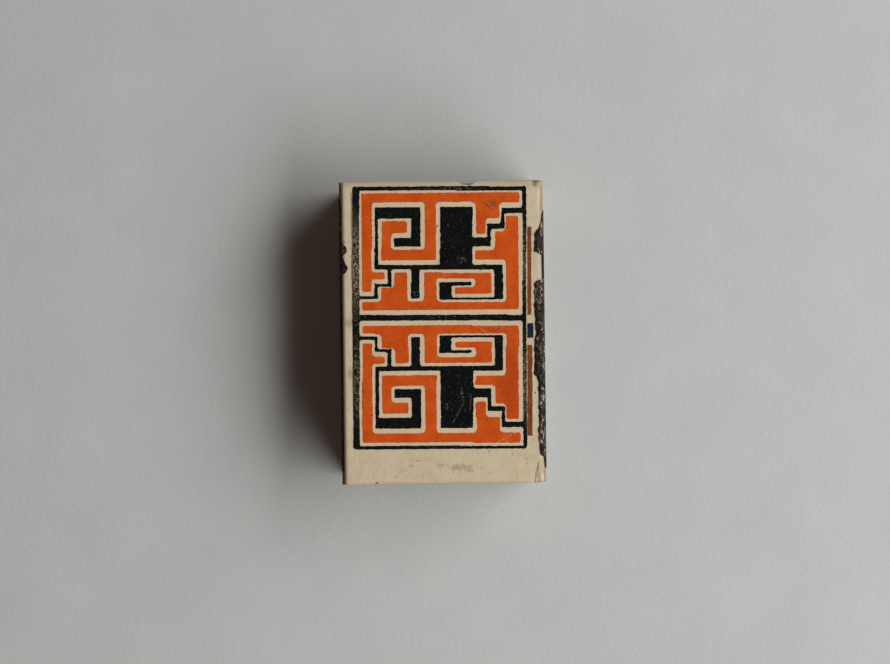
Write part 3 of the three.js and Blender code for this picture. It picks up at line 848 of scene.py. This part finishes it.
# painted highlight: a pale glint beside each furrow, where a wrinkle catches the lamp
painted_glint = grit_coat.ramp(abs(furrow_noise - 0.56), 0.022, 0.006)
painted_glint = painted_glint * grit_coat.ramp(grains, 0.45, 0.6)
coat = grit_coat.mix(painted_glint * 0.65, coat, PAINTED_GLINT_GREY)
coat = grit_coat.mix(furrow_with_shade * 0.85, coat, FURROW_PAINTED_SHADE)
near_end = grit_coat.ramp(grit_coat.y, -11, -19) * on_top
flakes = patches * 0.65 + grains * 0.35 + on_top * 0.05 + near_end * 0.05
flakes = grit_coat.ramp(flakes, 0.61, 0.65)
coat = grit_coat.mix(flakes * 0.75, coat, FLAKED_CARD)
blots = grit_coat.ramp(grit_coat.noise(1.7, 2, shift=0.3), 0.62, 0.68)
coat = grit_coat.mix(blots * 0.8 * on_top, coat, BLOT_BLACK)
from_right = lap_reach(grit_coat, RIGHT_LAP) - (HALF_WIDTH - grit_coat.x)
from_left = lap_reach(grit_coat, LEFT_LAP) - (HALF_WIDTH + grit_coat.x)
right_half = grit_coat.ramp(grit_coat.x, -1, 1)
left_half = grit_coat.ramp(grit_coat.x, 1, -1)
from_rim = from_right * right_half + from_left * left_half
rim = grit_coat.ramp(from_rim + (patches - 0.5) * 0.7, 0.42, 0.2) * on_top
coat = grit_coat.mix(rim * 0.85, coat, RIM_BLACK)
coat_relief = grains * 0.4 + wrinkles * 0.4 - furrow_with_shade * 0.6 - flakes * 0.2
coat_roughness = 0.85 + grains * 0.1
striking = grit_coat.finish(coat, coat_roughness, coat_relief, depth_mm=0.16, specular=0.12)
for piece in coats.values():
    piece.data.materials.append(striking)
print("striking coats wear", striking.name)

# %% [markdown]
# The tray is folded from thicker, greyer board. Nobody prints or rubs it, so its finish
# is plain: grey fibres that lie along it, and cut edges a little darker.

# %% Tray board
BOARD_DARK, BOARD_PALE = rgb(150, 138, 112), rgb(192, 179, 148)
EDGE_BROWN = rgb(128, 112, 84)
FLECK_BROWN = rgb(110, 94, 70)

board = Finish("tray_board")
board_fibres = board.noise(0.6, 5, (1, 0.2, 1))
board_clouds = board.noise(7, 2)
tone = board_fibres * 0.6 + board_clouds * 0.4
board_base = board.mix(tone, BOARD_DARK, BOARD_PALE)
top_edge = board.ramp(board.z + (board_fibres - 0.5) * 0.4, 13.7, 14.0)
board_base = board.mix(top_edge * 0.35, board_base, EDGE_BROWN)
flecks = board.ramp(board.noise(0.3, 2), 0.66, 0.74)
board_base = board.mix(flecks * 0.4, board_base, FLECK_BROWN)
board_roughness = 0.8 + board_fibres * 0.15
dress("tray", board.finish(board_base, board_roughness, tone, depth_mm=0.08, specular=0.2))

# %% [markdown]
# A match is a square splint of aspen with its end dipped in paste. One match is
# modelled at the origin along Y: the splint is a cube that gets its edges bevelled, and
# the head is a sphere that is stretched and roughed by a cloud texture. The matches in
# the tray are copies of it with meshes of their own.

# %% Wood and head paste
def make_wood():
    wood = Finish("aspen_splint")
    grain = wood.noise(0.35, 4, (1, 0.06, 1))
    broad = wood.noise(3, 2, (1, 0.2, 1))
    base = wood.mix(grain * 0.65 + broad * 0.35, rgb(196, 166, 112), rgb(232, 210, 164))
    pores = wood.ramp(grain, 0.62, 0.72)
    base = wood.mix(pores * 0.35, base, rgb(160, 124, 74))
    return wood.finish(base, 0.65 + grain * 0.2, grain, depth_mm=0.06, specular=0.25)


def make_paste():
    paste = Finish("match_head_paste")
    lumps = paste.noise(0.35, 4)
    base = paste.mix(paste.ramp(lumps, 0.35, 0.65), rgb(92, 36, 26), rgb(134, 60, 42))
    pale = paste.ramp(paste.noise(0.16, 2), 0.66, 0.72)
    base = paste.mix(pale * 0.5, base, rgb(176, 120, 92))
    return paste.finish(base, 0.7 + lumps * 0.2, lumps, depth_mm=0.1, specular=0.25)


wood_finish, paste_finish = make_wood(), make_paste()
print("match finishes:", wood_finish.name, paste_finish.name)

# %% [markdown]
# First comes the splint. All sizes are in millimetres, and they are those of the packed
# matches, but for the splint's end, which is hidden in the paste.

# %% One match
SPLINT = 1.9
BARE_LENGTH = 41.1  # the splint ends inside the paste, where the head is widest
SPLINT_BEVEL = 0.13

bpy.ops.object.select_all(action="DESELECT")
bpy.ops.mesh.primitive_cube_add(size=1, location=(0, BARE_LENGTH / 2 * MM, 0))
splint = bpy.context.object
splint.scale = (SPLINT * MM, BARE_LENGTH * MM, SPLINT * MM)
bpy.ops.object.transform_apply(location=True, rotation=True, scale=True)
bpy.ops.object.mode_set(mode="EDIT")
bpy.ops.mesh.select_all(action="SELECT")
bpy.ops.mesh.bevel(offset=SPLINT_BEVEL * MM, segments=2, affect="EDGES")
bpy.ops.object.mode_set(mode="OBJECT")
splint.data.materials.append(wood_finish)
print("splint faces:", len(splint.data.polygons))

# %% [markdown]
# The head is a drop of dried paste, so its surface is lumpy. It goes in further than it
# goes out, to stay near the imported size. Head and splint then become one object.

# %% The dipped head
HEAD_DIAMETER = 2.9
HEAD_LENGTH = 4.6
HEAD_END = 43.35
LUMP_SIZE = 0.7
LUMP_REACH = 0.12
LUMP_MIDDLE = 0.75  # brighter than this goes out, darker goes in

bpy.ops.object.select_all(action="DESELECT")
bpy.ops.mesh.primitive_uv_sphere_add(segments=18, ring_count=14, radius=1)
head = bpy.context.object
head.rotation_euler = (-math.pi / 2, 0, 0)
head.scale = (HEAD_DIAMETER / 2 * MM, HEAD_DIAMETER / 2 * MM, HEAD_LENGTH / 2 * MM)
head.location = (0, (HEAD_END - HEAD_LENGTH / 2) * MM, 0)
bpy.ops.object.transform_apply(location=True, rotation=True, scale=True)
lumps_texture = bpy.data.textures.new("paste_lumps", "CLOUDS")
lumps_texture.noise_scale = LUMP_SIZE * MM
rough = head.modifiers.new("lumps", "DISPLACE")
rough.texture = lumps_texture
rough.strength = LUMP_REACH * MM
rough.mid_level = LUMP_MIDDLE
bpy.ops.object.modifier_apply(modifier=rough.name)
bpy.ops.object.shade_smooth()
head.data.materials.append(paste_finish)
choose([splint, head])
bpy.ops.object.join()
pattern_match = bpy.context.object
print("one match:", len(pattern_match.data.polygons), "faces,",
      round(pattern_match.dimensions.y / MM, 2), "mm long")

# %% [markdown]
# The matches lie in three layers of twelve, every other one further forward, and each
# layer a little askew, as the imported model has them. The same rule gives each copy its
# place. Each is also rolled by quarter turns, so that no two neighbours look alike, and
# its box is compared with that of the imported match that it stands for.

# %% The matches in the tray
MATCHES = 36
PER_LAYER = 12
LAYER_YAW = (0.5, -0.8, 0.7)  # degrees
LAYERS_X = -0.2
PITCH = 2.5
STAGGER = 4.7
TAIL_Y = -24.9
FLOOR_Z = 0.9
REST_GAP = 0.25
TAIL_TO_HEAD = 40.7  # along the match, to where its head is widest


def lay_of(number):
    """The place of a match in the tray, as a matrix."""
    layer, column = divmod(number, PER_LAYER)
    rest = FLOOR_Z + (layer + 1) * REST_GAP
    tail_z = rest + (layer + 0.5) * SPLINT
    head_z = rest + (layer + 0.5) * HEAD_DIAMETER
    tail_x = (column - (PER_LAYER - 1) / 2) * PITCH
    tail = Vector((tail_x, TAIL_Y + column % 2 * STAGGER, tail_z))
    shift = Matrix.Translation((LAYERS_X * MM, 0, 0))
    yaw = Matrix.Rotation(math.radians(LAYER_YAW[layer]), 4, "Z")
    tilt = Matrix.Rotation(math.atan2(head_z - tail_z, TAIL_TO_HEAD), 4, "X")
    quarter_turns = number * 7 % 4
    roll = Matrix.Rotation(math.pi / 2 * quarter_turns, 4, "Y")
    return shift @ yaw @ Matrix.Translation(tail * MM) @ tilt @ roll


def miss_of(piece, node):
    """The widest gap between the sides of a piece's box and those of a node's box."""
    low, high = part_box(node)
    gaps = []
    for axis in range(3):
        places = [point.co[axis] for point in piece.data.vertices]
        gaps += [abs(min(places) - low[axis]), abs(max(places) - high[axis])]
    return max(gaps)


widest_miss = 0.0
for number in range(MATCHES):
    node = f"match_{number + 1:02d}"
    choose([pattern_match])
    bpy.ops.object.duplicate()
    match = bpy.context.object
    match.name = f"dipped_match_{number + 1:02d}"
    match.matrix_world = lay_of(number)
    bpy.ops.object.transform_apply(location=True, rotation=True, scale=True)
    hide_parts(node)
    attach(match, "tray")
    widest_miss = max(widest_miss, miss_of(match, node))
bpy.data.objects.remove(pattern_match)
print("matches laid, widest miss", round(widest_miss / MM, 3), "mm")
